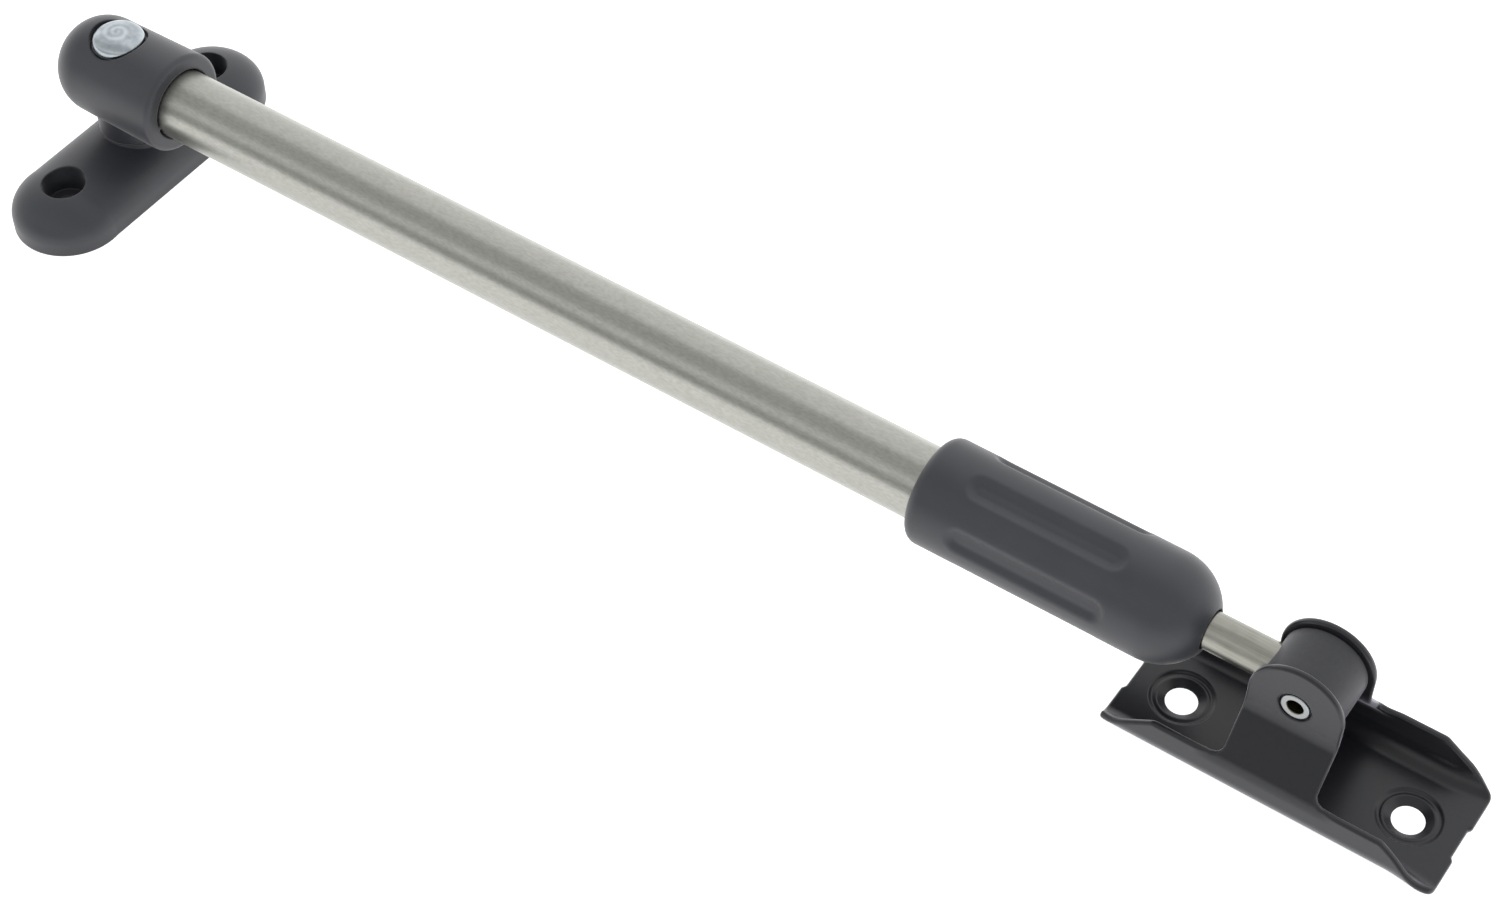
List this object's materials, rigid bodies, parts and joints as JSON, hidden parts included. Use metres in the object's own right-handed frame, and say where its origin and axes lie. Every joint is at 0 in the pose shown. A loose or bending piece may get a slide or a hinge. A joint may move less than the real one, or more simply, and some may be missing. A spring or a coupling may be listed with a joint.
{
  "type": "telescopic window stay",
  "caption": "Telescopic window stay: swivelling foot plate, round tube with a screw-lock grip, sliding rod and a hinged sheet-metal bracket.",
  "frame": {"origin": "on the mounting plane z = 0 of both feet, at the axis of the plate's pivot rivet", "axes": "+X along the tube from the plate towards the bracket, +Y along the mounting plate, +Z away from the mounting plane along the pivot rivet"},
  "size_m": [0.352, 0.0738, 0.0381],
  "materials": {
    "dark_moulding": "fine matt grain",
    "rivet_steel": "turned and bright zinc-plated",
    "stainless_tube": "fine brushing round the tube",
    "stainless_rod": "fine drawn lines along the rod",
    "coated_sheet": "satin powder coat",
    "coated_barrel": "satin powder coat",
    "brass": "machined",
    "nylon": "moulded natural nylon",
    "rubber": "moulded"
  },
  "bodies": {
    "plate": {"mounting_plate": "dark_moulding", "pivot_rivet": "rivet_steel", "thrust_washer": "nylon", "head_washer": "rivet_steel", "tail_washer": "rivet_steel"},
    "tube": {"knuckle": "dark_moulding", "outer_tube": "stainless_tube", "end_buffer": "rubber", "threaded_collar": "brass", "collet": "brass"},
    "clamp": {"clamp_ring": "brass"},
    "grip": {"grip": "dark_moulding", "grip_nut": "brass", "rod_wiper": "rubber"},
    "slider": {"slider": "nylon", "slider_ring": "nylon"},
    "rod": {"inner_rod": "stainless_rod", "slider_washer": "rivet_steel", "slider_screw": "rivet_steel", "barrel": "coated_barrel", "barrel_bush": "nylon"},
    "bracket": {"bracket": "coated_sheet", "hinge_rivet": "rivet_steel", "barrel_washers": "nylon"}
  },
  "joints": [
    {"name": "plate_swivel", "type": "hinge", "parent": "plate", "child": "tube", "pos_m": [0, 0, 0.0255], "axis": [0, 0, 1], "continuous": true},
    {"name": "clamp_travel", "type": "slide", "parent": "tube", "child": "clamp", "axis": [1, 0, 0], "range_m": [0, 0.00075]},
    {"name": "grip_turn", "type": "hinge", "parent": "clamp", "child": "grip", "pos_m": [0.246, 0, 0.0255], "axis": [1, 0, 0], "range_deg": [0, 180]},
    {"name": "extend", "type": "slide", "parent": "tube", "child": "slider", "axis": [1, 0, 0], "range_m": [0, 0.19]},
    {"name": "rod_turn", "type": "hinge", "parent": "slider", "child": "rod", "pos_m": [0.03, 0, 0.0255], "axis": [1, 0, 0], "continuous": true},
    {"name": "bracket_tilt", "type": "hinge", "parent": "rod", "child": "bracket", "pos_m": [0.3, 0, 0.0255], "axis": [0, 1, 0], "range_deg": [-195, 15]}
  ],
  "couplings": [
    {"joint": "grip_turn", "follows": "clamp_travel", "rad_per_m": 4188.8}
  ]
}
